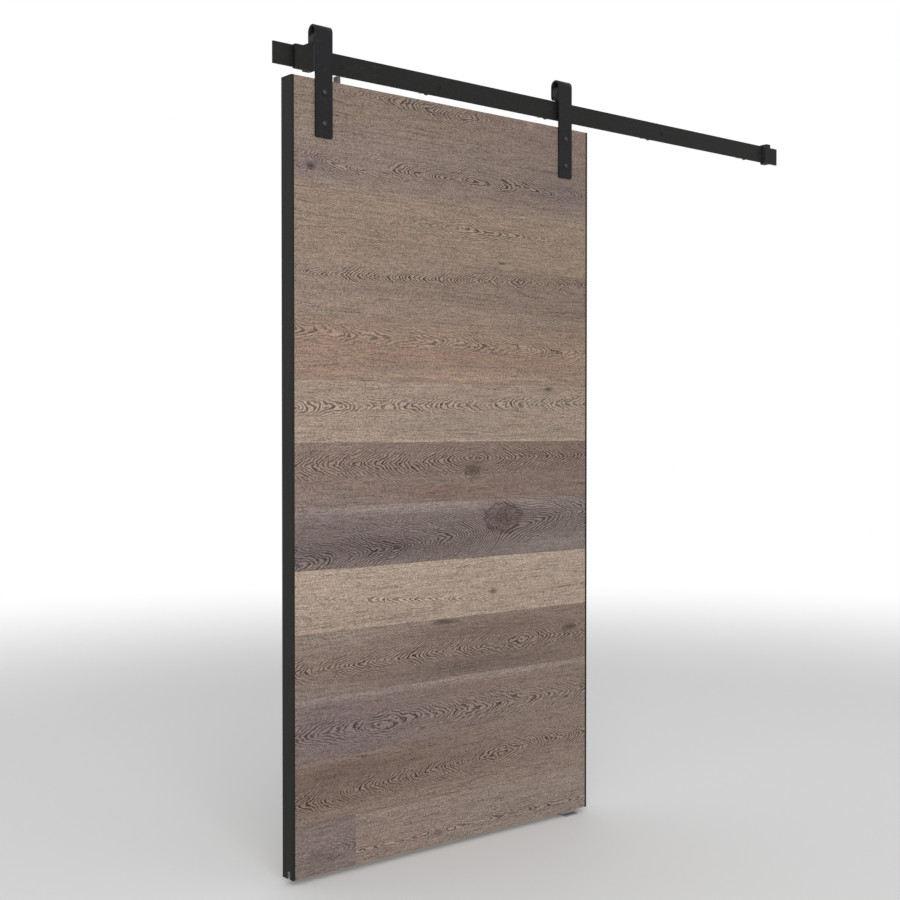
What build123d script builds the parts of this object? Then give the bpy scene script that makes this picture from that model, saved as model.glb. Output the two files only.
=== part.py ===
from build123d import *
import math
import os

os.makedirs("parts", exist_ok=True)

# A sliding barn door: one plank-faced leaf hung by two strap hangers from a flat bar rail.
# Frame: X along the wall to the right, Y into the wall, Z up. The wall is the plane Y = 0.
# The origin is on the wall behind the rail's middle wall bolt, at the rail's middle height.

# Rail and the bolts that hold it to the wall
rail_length = 2144.0
rail_left_x = -1043.0
rail_height = 58.0
rail_thickness = 6.0
rail_edge_chamfer = 0.6
standoff_length = 60.0
standoff_diameter = 26.0
wall_bolt_pitch = 479.0
first_wall_bolt_inset = 219.0
last_wall_bolt_inset = 107.0
wall_bolt_diameter = 8.0
wall_bolt_head_diameter = 16.0
wall_bolt_head_height = 2.6
wall_bolt_grip = 36.0
wall_bolt_point = 10.0
bolt_clearance = 0.25

# Leaf
leaf_left_x = -993.0
leaf_width = 1107.0
leaf_height = 2134.0
leaf_thickness = 50.0
rail_setback = 9.5
leaf_rail_gap = 22.6
floor_gap = 16.0
edge_strip_thickness = 8.0
edge_strip_chamfer = 0.6
board_thickness = 14.0
board_pitch = 170.6
bottom_row_height = 139.0
butt_joint_inset = 206.0
board_gap = 0.2
board_bevel = 0.3
tongue_length = 5.0
tongue_thickness = 4.5
tongue_clearance = 0.2

# Channel let into the leaf's lower edge, and the guide on the floor that stands in it
channel_width = 9.0
channel_depth = 20.0
channel_wall = 1.2
channel_clearance = 0.2
guide_side_clearance = 0.8
guide_top_clearance = 4.7
guide_length = 50.0
guide_inset = 67.3
guide_base_depth = 44.0
guide_base_thickness = 4.0
guide_root_radius = 2.0
guide_screw_diameter = 4.5
guide_screw_head_diameter = 9.0
guide_screw_length = 30.0
guide_screw_inset = 9.0

# Hangers: a flat bar bent over a grooved wheel
strap_width = 54.5
strap_thickness = 6.0
left_strap_inset = 100.5
right_strap_inset = 102.2
strap_overlap = 155.0
strap_corner_cut = 3.0
bend_above_axle = 22.6
back_leg_below_axle = 17.5
back_leg_corner = 8.0
strap_bolt_depths = [34.0, 117.0]
strap_bolt_diameter = 8.0
strap_bolt_head_diameter = 14.0
strap_bolt_head_height = 4.4
strap_bolt_point = 1.0
strap_bolt_in_sleeve = 22.0
sleeve_diameter = 10.0
sleeve_length = 30.0
sleeve_bore_spare = 2.0
sleeve_flange_diameter = 17.0
sleeve_flange_thickness = 2.4

# Wheels, their bearings and axles
tread_radius = 25.0
tread_width = 7.0
flange_height = 4.0
flange_flare = 1.5
wheel_width = 20.0
tread_clearance = 0.3
rim_chamfer = 1.0
web_recess = 2.0
web_draft = 0.5
web_inner_radius = 15.5
web_outer_radius = 23.0
bearing_diameter = 26.0
bearing_width = 8.0
bearing_ring_wall = 2.6
bearing_shield_recess = 0.6
bearing_fit = 0.02
wheel_shoulder_radius = 11.0
axle_diameter = 10.0
axle_fit = 0.05
axle_head_diameter = 18.0
axle_spacer_diameter = 14.0
axle_spacer_play = 0.15
axle_nut_across_flats = 16.0
axle_nut_height = 6.0
axle_thread_proud = 2.0

# End stops clamped round the rail, each with a rubber pad that meets the strap's edge
stop_block_length = 20.0
stop_tail_length = 38.0
stop_tail_fillet = 5.6
stop_front_depth = 15.0
stop_back_depth = 6.0
stop_above_rail = 6.6
stop_below_rail = 5.0
stop_rail_clearance = 0.2
stop_edge_chamfer = 0.8
right_stop_inset = 81.4
pad_thickness = 5.0
pad_inset = 1.0
stop_gap = 0.5
grub_diameter = 6.0
grub_spacing = 9.0

# Anti-jump blocks on the leaf's top edge, just under the rail
left_anti_jump_inset = 154.6
right_anti_jump_inset = 91.0
anti_jump_length = 11.0
anti_jump_depth = 21.0
anti_jump_setback = 2.5
anti_jump_gap = 3.0
anti_jump_corner = 1.5
anti_jump_screw_diameter = 4.0
anti_jump_screw_head_diameter = 7.5
anti_jump_screw_length = 45.0
anti_jump_screw_seat = 5.0
anti_jump_screw_edge = 4.0

# Shapes shared by the fasteners: domes, drive recesses, points and hole clearances
dome_crown_share = 0.5
dome_waist_share = 0.8
dome_rim_share = 0.35
socket_share = 0.5
socket_depth_share = 0.6
point_share = 0.5
thread_relief = 0.2
wood_screw_point = 6.0
countersink_angle = 90.0
screw_fit = 0.1

# Places that follow from the sizes above
rail_top_z = rail_height / 2
rail_bottom_z = -rail_height / 2
rail_back_y = -standoff_length
rail_front_y = rail_back_y - rail_thickness
rail_mid_y = (rail_back_y + rail_front_y) / 2
rail_right_x = rail_left_x + rail_length
wall_bolt_xs = [
    rail_left_x + first_wall_bolt_inset,
    -wall_bolt_pitch,
    0.0,
    wall_bolt_pitch,
    rail_right_x - last_wall_bolt_inset,
]
leaf_right_x = leaf_left_x + leaf_width
leaf_front_y = rail_front_y - rail_setback
leaf_back_y = leaf_front_y + leaf_thickness
leaf_mid_y = (leaf_front_y + leaf_back_y) / 2
leaf_top_z = rail_bottom_z - leaf_rail_gap
leaf_bottom_z = leaf_top_z - leaf_height
floor_z = leaf_bottom_z - floor_gap
panel_left_x = leaf_left_x + edge_strip_thickness
panel_right_x = leaf_right_x - edge_strip_thickness
core_front_y = leaf_front_y + board_thickness
core_back_y = leaf_back_y - board_thickness
channel_mid_y = core_front_y + channel_clearance + channel_width / 2
butt_joint_x = leaf_left_x + butt_joint_inset
wheel_xs = [leaf_left_x + left_strap_inset, leaf_right_x - right_strap_inset]
strap_bolt_places = [(x, leaf_top_z - depth) for x in wheel_xs for depth in strap_bolt_depths]
strap_bolt_hole_radius = strap_bolt_diameter / 2 + bolt_clearance
sleeve_hole_radius = sleeve_diameter / 2 + bolt_clearance
sleeve_front_y = leaf_back_y - sleeve_length
axle_z = rail_top_z + tread_clearance + tread_radius
bend_z = axle_z + bend_above_axle
strap_front_y = leaf_front_y - strap_thickness
strap_bottom_z = leaf_top_z - strap_overlap
bend_inner_radius = rail_mid_y - leaf_front_y
bend_outer_radius = bend_inner_radius + strap_thickness
back_leg_inner_y = rail_mid_y + bend_inner_radius
back_leg_outer_y = rail_mid_y + bend_outer_radius
back_leg_bottom_z = axle_z - back_leg_below_axle
stop_top_z = rail_top_z + stop_above_rail
stop_bottom_z = rail_bottom_z - stop_below_rail
stop_front_y = rail_front_y - stop_front_depth
stop_back_y = rail_back_y + stop_back_depth
left_pad_face_x = wheel_xs[0] - strap_width / 2 - stop_gap
left_block_x = left_pad_face_x - pad_thickness - stop_block_length
right_pad_face_x = rail_right_x - right_stop_inset
right_block_x = right_pad_face_x + pad_thickness
guide_x = leaf_right_x - guide_inset
guide_top_z = floor_z + guide_base_thickness
guide_fin_width = channel_width - 2 * channel_wall - 2 * guide_side_clearance
guide_fin_top_z = leaf_bottom_z + channel_depth - channel_wall - guide_top_clearance
guide_screw_offset = guide_base_depth / 2 - guide_screw_inset
anti_jump_xs = [leaf_left_x + left_anti_jump_inset, leaf_right_x - right_anti_jump_inset]
anti_jump_top_z = rail_bottom_z - anti_jump_gap
anti_jump_front_y = leaf_front_y + anti_jump_setback
anti_jump_seat_z = anti_jump_top_z - anti_jump_screw_seat
anti_jump_screw_y = core_front_y + anti_jump_screw_edge


def front_plane(y):
    """A plane that faces the room at depth y: local x is X, local y is Z."""
    return Plane.XZ.offset(-y)


def side_plane(x):
    """A plane that faces +X at x: local x is Y, local y is Z."""
    return Plane.YZ.offset(x)


def facing_room(x, y, z):
    """A place whose normal points out of the wall."""
    return Plane(origin=(x, y, z), x_dir=(1, 0, 0), z_dir=(0, -1, 0))


def facing_wall(x, y, z):
    """A place whose normal points into the wall."""
    return Plane(origin=(x, y, z), x_dir=(1, 0, 0), z_dir=(0, 1, 0))


def facing_up(x, y, z):
    """A place whose normal points up."""
    return Plane(origin=(x, y, z), x_dir=(1, 0, 0), z_dir=(0, 0, 1))


def facing_down(x, y, z):
    """A place whose normal points down."""
    return Plane(origin=(x, y, z), x_dir=(1, 0, 0), z_dir=(0, 0, -1))


def turn(place, outline):
    """Turn a closed outline of (radius, height) points about the place's normal."""
    half_plane = Plane(origin=place.origin, x_dir=place.x_dir, z_dir=-place.y_dir)
    with BuildSketch(half_plane) as section:
        with BuildLine():
            Polyline(*outline, close=True)
        make_face()
    revolve(section.sketch, axis=Axis(place.origin, place.z_dir))


def hex_socket(place, across_flats, depth):
    """Sink a hexagon drive recess into the active part."""
    with BuildSketch(place) as recess:
        RegularPolygon(radius=across_flats / 2, side_count=6, major_radius=False)
    extrude(recess.sketch, amount=-depth, mode=Mode.SUBTRACT)


def dome_screw(place, head_size, shank_diameter, shank_length, thread_length, point):
    """Add a screw whose low domed head seats on the place, with shank and thread behind it."""
    head_diameter, head_height = head_size
    head = head_diameter / 2
    shank = shank_diameter / 2
    thread = shank - thread_relief
    tip = -shank_length - thread_length
    turn(
        place,
        [
            (0, head_height),
            (head * dome_crown_share, head_height),
            (head * dome_waist_share, head_height * dome_waist_share),
            (head, head_height * dome_rim_share),
            (head, 0),
            (shank, 0),
            (shank, -shank_length),
            (thread, -shank_length),
            (thread, tip + point),
            (thread * point_share, tip),
            (0, tip),
        ],
    )
    hex_socket(
        place.offset(head_height),
        head_diameter * socket_share * dome_waist_share,
        head_height * socket_depth_share,
    )


def flat_screw(place, head_diameter, shank_diameter, shank_length, point, driven=True):
    """Add a countersunk screw, flush with the place, whose head is plain unless it is driven."""
    head = head_diameter / 2
    shank = shank_diameter / 2
    cone = (head - shank) / math.tan(math.radians(countersink_angle / 2))
    turn(
        place,
        [
            (0, 0),
            (head, 0),
            (shank, -cone),
            (shank, point - shank_length),
            (shank * point_share, -shank_length),
            (0, -shank_length),
        ],
    )
    if driven:
        hex_socket(place, head_diameter * socket_share, cone * socket_depth_share)


def finish(piece, label):
    """Name a finished piece and write it out."""
    piece.label = label
    export_step(piece, "parts/" + label + ".step")


# Rail: one flat steel bar with eased edges, drilled for its wall bolts
with BuildPart() as rail:
    with BuildSketch(side_plane(rail_left_x)):
        with Locations((rail_mid_y, 0)):
            Rectangle(rail_thickness, rail_height)
    extrude(amount=rail_length)
    chamfer(rail.edges().filter_by(Axis.X), length=rail_edge_chamfer)
    with Locations(*[facing_room(x, rail_front_y, 0) for x in wall_bolt_xs]):
        Hole(wall_bolt_diameter / 2 + bolt_clearance, depth=rail_thickness)
finish(rail.part, "rail")

# Standoffs: turned steel tubes that hold the rail clear of the wall
for number, x in enumerate(wall_bolt_xs, start=1):
    with BuildPart() as standoff:
        with BuildSketch(facing_room(x, 0, 0)):
            Circle(standoff_diameter / 2)
            Circle(wall_bolt_diameter / 2 + bolt_clearance, mode=Mode.SUBTRACT)
        extrude(amount=standoff_length)
    finish(standoff.part, "rail_standoff_" + str(number))

# Wall bolts: domed screws through the rail and its standoffs into the wall
with BuildPart() as wall_bolts:
    for x in wall_bolt_xs:
        dome_screw(
            facing_room(x, rail_front_y, 0),
            (wall_bolt_head_diameter, wall_bolt_head_height),
            wall_bolt_diameter,
            rail_thickness + standoff_length,
            wall_bolt_grip,
            wall_bolt_point,
        )
finish(wall_bolts.part, "wall_bolts")


def cut_rail_window(x, length):
    """Cut the rail's section, with its clearance, through the active part."""
    with BuildSketch(side_plane(x)) as window:
        with Locations((rail_mid_y, 0)):
            Rectangle(
                rail_thickness + 2 * stop_rail_clearance,
                rail_height + 2 * stop_rail_clearance,
            )
    extrude(window.sketch, amount=length, mode=Mode.SUBTRACT)


def grub_places(block_x):
    """Where the two grub screws stand in the lower lip of a stop's block."""
    middle_x = block_x + stop_block_length / 2
    return [
        facing_down(middle_x - grub_spacing / 2, rail_mid_y, stop_bottom_z),
        facing_down(middle_x + grub_spacing / 2, rail_mid_y, stop_bottom_z),
    ]


# Left end stop: a milled block round the rail, with a low tail lying on the rail's face
with BuildPart() as end_stop_left:
    with BuildSketch(front_plane(stop_front_y)) as stop_face:
        with Locations((left_block_x, stop_bottom_z)):
            Rectangle(
                stop_block_length,
                stop_top_z - stop_bottom_z,
                align=(Align.MIN, Align.MIN),
            )
            Rectangle(
                stop_tail_length,
                rail_top_z - stop_bottom_z,
                align=(Align.MAX, Align.MIN),
            )
        inner_corner = stop_face.vertices().group_by(Axis.Y)[1].sort_by(Axis.X)[-1]
        fillet(inner_corner, radius=stop_tail_fillet)
    extrude(amount=stop_rail_clearance - stop_front_depth)
    chamfer(end_stop_left.faces().sort_by(Axis.Y)[0].edges(), length=stop_edge_chamfer)
    with BuildSketch(front_plane(rail_front_y - stop_rail_clearance)):
        with Locations((left_block_x, stop_bottom_z)):
            Rectangle(
                stop_block_length,
                stop_top_z - stop_bottom_z,
                align=(Align.MIN, Align.MIN),
            )
    extrude(amount=rail_front_y - stop_rail_clearance - stop_back_y)
    cut_rail_window(left_block_x, stop_block_length)
    with Locations(*grub_places(left_block_x)):
        Hole(grub_diameter / 2 + screw_fit, depth=stop_below_rail)
finish(end_stop_left.part, "end_stop_left")

# Right end stop: the same block without the tail
with BuildPart() as end_stop_right:
    with BuildSketch(front_plane(stop_front_y)):
        with Locations((right_block_x, stop_bottom_z)):
            Rectangle(
                stop_block_length,
                stop_top_z - stop_bottom_z,
                align=(Align.MIN, Align.MIN),
            )
    extrude(amount=stop_front_y - stop_back_y)
    chamfer(end_stop_right.faces().sort_by(Axis.Y)[0].edges(), length=stop_edge_chamfer)
    cut_rail_window(right_block_x, stop_block_length)
    with Locations(*grub_places(right_block_x)):
        Hole(grub_diameter / 2 + screw_fit, depth=stop_below_rail)
finish(end_stop_right.part, "end_stop_right")

# Rubber pads on the stops' inner ends, a little smaller than the blocks behind them
for side, pad_x in [("left", left_pad_face_x - pad_thickness), ("right", right_pad_face_x)]:
    with BuildPart() as stop_pad:
        with BuildSketch(side_plane(pad_x)):
            with Locations(((stop_front_y + stop_back_y) / 2, (stop_top_z + stop_bottom_z) / 2)):
                Rectangle(
                    stop_back_y - stop_front_y - 2 * pad_inset,
                    stop_top_z - stop_bottom_z - 2 * pad_inset,
                )
        extrude(amount=pad_thickness)
        cut_rail_window(pad_x, pad_thickness)
    finish(stop_pad.part, "stop_pad_" + side)

# Grub screws: they clamp the stops against the rail's lower edge
with BuildPart() as stop_grub_screws:
    for place in grub_places(left_block_x) + grub_places(right_block_x):
        with BuildSketch(place) as grub:
            Circle(grub_diameter / 2)
        extrude(grub.sketch, amount=-stop_below_rail)
        hex_socket(place, grub_diameter * socket_share, stop_below_rail * socket_depth_share)
finish(stop_grub_screws.part, "stop_grub_screws")

# Floor guide: a steel tee screwed to the floor, whose fin stands in the leaf's channel
guide_screw_places = [
    facing_up(guide_x, channel_mid_y - guide_screw_offset, guide_top_z),
    facing_up(guide_x, channel_mid_y + guide_screw_offset, guide_top_z),
]
with BuildPart() as floor_guide:
    with BuildSketch(side_plane(guide_x - guide_length / 2)) as guide_section:
        with Locations((channel_mid_y, floor_z)):
            Rectangle(guide_base_depth, guide_base_thickness, align=(Align.CENTER, Align.MIN))
            Rectangle(guide_fin_width, guide_fin_top_z - floor_z, align=(Align.CENTER, Align.MIN))
        roots = guide_section.vertices().group_by(Axis.Y)[1].sort_by(Axis.X)[1:3]
        fillet(roots, radius=guide_root_radius)
    extrude(amount=guide_length)
    with Locations(*guide_screw_places):
        CounterSinkHole(
            guide_screw_diameter / 2 + screw_fit,
            guide_screw_head_diameter / 2 + screw_fit,
            depth=guide_base_thickness,
            counter_sink_angle=countersink_angle,
        )
finish(floor_guide.part, "floor_guide")

# Floor guide screws: countersunk wood screws, one on each side of the fin
with BuildPart() as floor_guide_screws:
    for place in guide_screw_places:
        flat_screw(
            place,
            guide_screw_head_diameter,
            guide_screw_diameter,
            guide_screw_length,
            wood_screw_point,
        )
finish(floor_guide_screws.part, "floor_guide_screws")

# Leaf core: one solid panel, rebated below for the channel and bored for the fasteners
anti_jump_screw_places = [facing_up(x, anti_jump_screw_y, anti_jump_seat_z) for x in anti_jump_xs]
with BuildPart() as leaf_core:
    with BuildSketch(side_plane(panel_left_x)):
        with Locations((leaf_mid_y, leaf_bottom_z)):
            Rectangle(core_back_y - core_front_y, leaf_height, align=(Align.CENTER, Align.MIN))
        with Locations((channel_mid_y, leaf_bottom_z)):
            Rectangle(
                channel_width + 2 * channel_clearance,
                channel_depth + channel_clearance,
                align=(Align.CENTER, Align.MIN),
                mode=Mode.SUBTRACT,
            )
    extrude(amount=panel_right_x - panel_left_x)
    with Locations(*[facing_room(x, core_front_y, z) for x, z in strap_bolt_places]):
        Hole(strap_bolt_hole_radius, depth=core_back_y - core_front_y)
    with Locations(*[facing_wall(x, core_back_y, z) for x, z in strap_bolt_places]):
        Hole(sleeve_hole_radius, depth=core_back_y - sleeve_front_y)
    with Locations(*anti_jump_screw_places):
        Hole(anti_jump_screw_diameter / 2 + screw_fit, depth=anti_jump_screw_length)
finish(leaf_core.part, "leaf_core")


def board_outline(bottom_z, top_z, face_y, inward):
    """A board's section as (Y, Z) points: bevelled face, groove below and tongue above."""
    bottom = bottom_z + board_gap / 2
    top = top_z - board_gap / 2
    back = face_y + inward * board_thickness
    middle = face_y + inward * board_thickness / 2
    bevel = inward * board_bevel
    tongue = inward * tongue_thickness / 2
    groove = inward * (tongue_thickness / 2 + tongue_clearance)
    outline = [(face_y, bottom + board_bevel), (face_y + bevel, bottom)]
    if bottom_z > leaf_bottom_z:
        outline += [
            (middle - groove, bottom),
            (middle - groove, bottom + tongue_length),
            (middle + groove, bottom + tongue_length),
            (middle + groove, bottom),
        ]
    outline += [(back, bottom), (back, top)]
    if top_z < leaf_top_z:
        outline += [
            (middle + tongue, top),
            (middle + tongue, top + tongue_length),
            (middle - tongue, top + tongue_length),
            (middle - tongue, top),
        ]
    outline += [(face_y + bevel, top), (face_y, top - board_bevel)]
    return outline


def lay_board(label, span_x, span_z, face_y, inward, hole_radius):
    """Run one board from left to right and bore it wherever a strap bolt crosses it."""
    left_x, right_x = span_x
    bottom_z, top_z = span_z
    bore_start_y = min(face_y, face_y + inward * board_thickness)
    reach = tongue_length + hole_radius
    bores = [
        facing_room(x, bore_start_y, z)
        for x, z in strap_bolt_places
        if bottom_z - hole_radius < z < top_z + reach
    ]
    with BuildPart() as board:
        with BuildSketch(side_plane(left_x)):
            with BuildLine():
                Polyline(*board_outline(bottom_z, top_z, face_y, inward), close=True)
            make_face()
        extrude(amount=right_x - left_x)
        if bores:
            with Locations(*bores):
                Hole(hole_radius, depth=board_thickness)
    finish(board.part, label)


# Face boards: tongued and grooved rows on both sides; the top row takes what height is left
upper_row_count = round((leaf_height - bottom_row_height) / board_pitch)
upper_row_bottoms = [
    leaf_bottom_z + bottom_row_height + row * board_pitch for row in range(upper_row_count)
]
upper_row_tops = upper_row_bottoms[1:] + [leaf_top_z]

# Upper rows: full-length boards counted from the top, the front ones facing the room
for row in range(upper_row_count):
    lay_board(
        "front_board_" + str(upper_row_count - row),
        (panel_left_x, panel_right_x),
        (upper_row_bottoms[row], upper_row_tops[row]),
        leaf_front_y,
        1,
        strap_bolt_hole_radius,
    )
    lay_board(
        "back_board_" + str(upper_row_count - row),
        (panel_left_x, panel_right_x),
        (upper_row_bottoms[row], upper_row_tops[row]),
        leaf_back_y,
        -1,
        sleeve_hole_radius,
    )

# Bottom row: two lengths with a butt joint on the front, and one board on the back
lay_board(
    "front_bottom_board_left",
    (panel_left_x, butt_joint_x - board_gap / 2),
    (leaf_bottom_z, upper_row_bottoms[0]),
    leaf_front_y,
    1,
    strap_bolt_hole_radius,
)
lay_board(
    "front_bottom_board_right",
    (butt_joint_x + board_gap / 2, panel_right_x),
    (leaf_bottom_z, upper_row_bottoms[0]),
    leaf_front_y,
    1,
    strap_bolt_hole_radius,
)
lay_board(
    "back_bottom_board",
    (panel_left_x, panel_right_x),
    (leaf_bottom_z, upper_row_bottoms[0]),
    leaf_back_y,
    -1,
    sleeve_hole_radius,
)

# Edge strips: flat bars over the leaf's side edges, notched below for the channel
for side, strip_x in [("left", leaf_left_x), ("right", panel_right_x)]:
    with BuildPart() as edge_strip:
        with BuildSketch(side_plane(strip_x)):
            with Locations((leaf_mid_y, leaf_bottom_z)):
                Rectangle(leaf_thickness, leaf_height, align=(Align.CENTER, Align.MIN))
            with Locations((channel_mid_y, leaf_bottom_z)):
                Rectangle(
                    channel_width + 2 * channel_clearance,
                    channel_depth + channel_clearance,
                    align=(Align.CENTER, Align.MIN),
                    mode=Mode.SUBTRACT,
                )
        extrude(amount=edge_strip_thickness)
        outer_face = edge_strip.faces().sort_by(Axis.X)[0 if side == "left" else -1]
        long_edges = outer_face.edges().filter_by(Axis.Z).sort_by(Axis.Y)
        chamfer([long_edges[0], long_edges[-1]], length=edge_strip_chamfer)
    finish(edge_strip.part, "edge_strip_" + side)

# Guide channel: an extruded U let into the leaf's lower edge from side to side
with BuildPart() as guide_channel:
    with BuildSketch(side_plane(leaf_left_x)):
        with Locations((channel_mid_y, leaf_bottom_z)):
            Rectangle(channel_width, channel_depth, align=(Align.CENTER, Align.MIN))
            Rectangle(
                channel_width - 2 * channel_wall,
                channel_depth - channel_wall,
                align=(Align.CENTER, Align.MIN),
                mode=Mode.SUBTRACT,
            )
    extrude(amount=leaf_width)
finish(guide_channel.part, "guide_channel")

# Hanger straps: flat bar bent over the wheel, bolted to the leaf, with a short back leg
for side, wheel_x in zip(["left", "right"], wheel_xs):
    with BuildPart() as hanger_strap:
        with BuildSketch(side_plane(wheel_x - strap_width / 2)):
            with BuildLine():
                Line((leaf_front_y, bend_z), (leaf_front_y, strap_bottom_z))
                Line((leaf_front_y, strap_bottom_z), (strap_front_y, strap_bottom_z))
                Line((strap_front_y, strap_bottom_z), (strap_front_y, bend_z))
                ThreePointArc(
                    (strap_front_y, bend_z),
                    (rail_mid_y, bend_z + bend_outer_radius),
                    (back_leg_outer_y, bend_z),
                )
                Line((back_leg_outer_y, bend_z), (back_leg_outer_y, back_leg_bottom_z))
                Line((back_leg_outer_y, back_leg_bottom_z), (back_leg_inner_y, back_leg_bottom_z))
                Line((back_leg_inner_y, back_leg_bottom_z), (back_leg_inner_y, bend_z))
                ThreePointArc(
                    (back_leg_inner_y, bend_z),
                    (rail_mid_y, bend_z + bend_inner_radius),
                    (leaf_front_y, bend_z),
                )
            make_face()
        extrude(amount=strap_width)
        back_leg_ends = hanger_strap.edges().filter_by(Axis.Y).group_by(Axis.Z)[1]
        fillet(back_leg_ends, radius=back_leg_corner)
        front_leg_ends = hanger_strap.edges().filter_by(Axis.Y).group_by(Axis.Z)[0]
        chamfer(front_leg_ends, length=strap_corner_cut)
        with Locations(facing_room(wheel_x, strap_front_y, axle_z)):
            CounterSinkHole(
                axle_diameter / 2 + axle_fit,
                axle_head_diameter / 2 + axle_fit,
                depth=back_leg_outer_y - strap_front_y,
                counter_sink_angle=countersink_angle,
            )
        bolt_places = [
            facing_room(wheel_x, strap_front_y, leaf_top_z - depth) for depth in strap_bolt_depths
        ]
        with Locations(*bolt_places):
            Hole(strap_bolt_hole_radius, depth=strap_thickness)
    finish(hanger_strap.part, "hanger_strap_" + side)

# Strap bolts: domed machine screws through the strap into the sleeve nuts
with BuildPart() as strap_bolts:
    for x, z in strap_bolt_places:
        dome_screw(
            facing_room(x, strap_front_y, z),
            (strap_bolt_head_diameter, strap_bolt_head_height),
            strap_bolt_diameter,
            sleeve_front_y - strap_front_y,
            strap_bolt_in_sleeve,
            strap_bolt_point,
        )
finish(strap_bolts.part, "strap_bolts")

# Sleeve nuts: flanged barrels let in from the leaf's back, with a blind bore for the bolt
sleeve_bore_radius = strap_bolt_diameter / 2 + screw_fit
sleeve_bore_end = sleeve_length - strap_bolt_in_sleeve - sleeve_bore_spare
with BuildPart() as strap_sleeve_nuts:
    for x, z in strap_bolt_places:
        turn(
            facing_wall(x, leaf_back_y, z),
            [
                (0, sleeve_flange_thickness),
                (sleeve_flange_diameter / 2, sleeve_flange_thickness),
                (sleeve_flange_diameter / 2, 0),
                (sleeve_diameter / 2, 0),
                (sleeve_diameter / 2, -sleeve_length),
                (sleeve_bore_radius, -sleeve_length),
                (sleeve_bore_radius, -sleeve_bore_end),
                (0, -sleeve_bore_end),
            ],
        )
        hex_socket(
            facing_wall(x, leaf_back_y + sleeve_flange_thickness, z),
            sleeve_diameter * socket_share,
            sleeve_bore_end * socket_depth_share,
        )
finish(strap_sleeve_nuts.part, "strap_sleeve_nuts")

# Wheels: turned steel with a flanged groove for the rail's edge and a seat for the bearing
wheel_half_width = wheel_width / 2
tread_half_width = tread_width / 2
bearing_half_width = bearing_width / 2
flange_radius = tread_radius + flange_height
for side, wheel_x in zip(["left", "right"], wheel_xs):
    with BuildPart() as wheel:
        turn(
            facing_wall(wheel_x, rail_mid_y, axle_z),
            [
                (bearing_diameter / 2, -wheel_half_width),
                (web_inner_radius - web_draft, -wheel_half_width),
                (web_inner_radius, web_recess - wheel_half_width),
                (web_outer_radius, web_recess - wheel_half_width),
                (web_outer_radius + web_draft, -wheel_half_width),
                (flange_radius - rim_chamfer, -wheel_half_width),
                (flange_radius, rim_chamfer - wheel_half_width),
                (flange_radius, -tread_half_width - flange_flare),
                (tread_radius, -tread_half_width),
                (tread_radius, tread_half_width),
                (flange_radius, tread_half_width + flange_flare),
                (flange_radius, wheel_half_width - rim_chamfer),
                (flange_radius - rim_chamfer, wheel_half_width),
                (web_outer_radius + web_draft, wheel_half_width),
                (web_outer_radius, wheel_half_width - web_recess),
                (web_inner_radius, wheel_half_width - web_recess),
                (web_inner_radius - web_draft, wheel_half_width),
                (wheel_shoulder_radius, wheel_half_width),
                (wheel_shoulder_radius, bearing_half_width),
                (bearing_diameter / 2, bearing_half_width),
            ],
        )
    finish(wheel.part, "wheel_" + side)

# Bearings: pressed into the wheels against their shoulders, with shields set back
inner_ring_radius = axle_diameter / 2 + axle_fit
outer_ring_radius = bearing_diameter / 2 - bearing_fit
shield_half_width = bearing_half_width - bearing_shield_recess
for side, wheel_x in zip(["left", "right"], wheel_xs):
    with BuildPart() as bearing:
        turn(
            facing_wall(wheel_x, rail_mid_y, axle_z),
            [
                (inner_ring_radius, -bearing_half_width),
                (inner_ring_radius + bearing_ring_wall, -bearing_half_width),
                (inner_ring_radius + bearing_ring_wall, -shield_half_width),
                (outer_ring_radius - bearing_ring_wall, -shield_half_width),
                (outer_ring_radius - bearing_ring_wall, -bearing_half_width),
                (outer_ring_radius, -bearing_half_width),
                (outer_ring_radius, bearing_half_width),
                (outer_ring_radius - bearing_ring_wall, bearing_half_width),
                (outer_ring_radius - bearing_ring_wall, shield_half_width),
                (inner_ring_radius + bearing_ring_wall, shield_half_width),
                (inner_ring_radius + bearing_ring_wall, bearing_half_width),
                (inner_ring_radius, bearing_half_width),
            ],
        )
    finish(bearing.part, "bearing_" + side)

# Axle bolts: countersunk flush in the straps' front, through wheel and back leg
with BuildPart() as axle_bolts:
    for wheel_x in wheel_xs:
        flat_screw(
            facing_room(wheel_x, strap_front_y, axle_z),
            axle_head_diameter,
            axle_diameter,
            back_leg_outer_y - strap_front_y + axle_nut_height + axle_thread_proud,
            rim_chamfer,
            driven=False,
        )
finish(axle_bolts.part, "axle_bolts")

# Axle spacers: short tubes between the straps' legs and the bearings' inner rings
spacer_length = bend_inner_radius - bearing_half_width - axle_spacer_play
with BuildPart() as axle_spacers:
    for wheel_x in wheel_xs:
        for place in [
            facing_wall(wheel_x, leaf_front_y, axle_z),
            facing_room(wheel_x, back_leg_inner_y, axle_z),
        ]:
            with BuildSketch(place) as ring:
                Circle(axle_spacer_diameter / 2)
                Circle(axle_diameter / 2 + axle_fit, mode=Mode.SUBTRACT)
            extrude(ring.sketch, amount=spacer_length)
finish(axle_spacers.part, "axle_spacers")

# Axle nuts: hexagon nuts against the straps' back legs
with BuildPart() as axle_nuts:
    for wheel_x in wheel_xs:
        with BuildSketch(facing_wall(wheel_x, back_leg_outer_y, axle_z)) as nut:
            RegularPolygon(radius=axle_nut_across_flats / 2, side_count=6, major_radius=False)
            Circle(axle_diameter / 2 + axle_fit, mode=Mode.SUBTRACT)
        extrude(nut.sketch, amount=axle_nut_height)
finish(axle_nuts.part, "axle_nuts")

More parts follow.
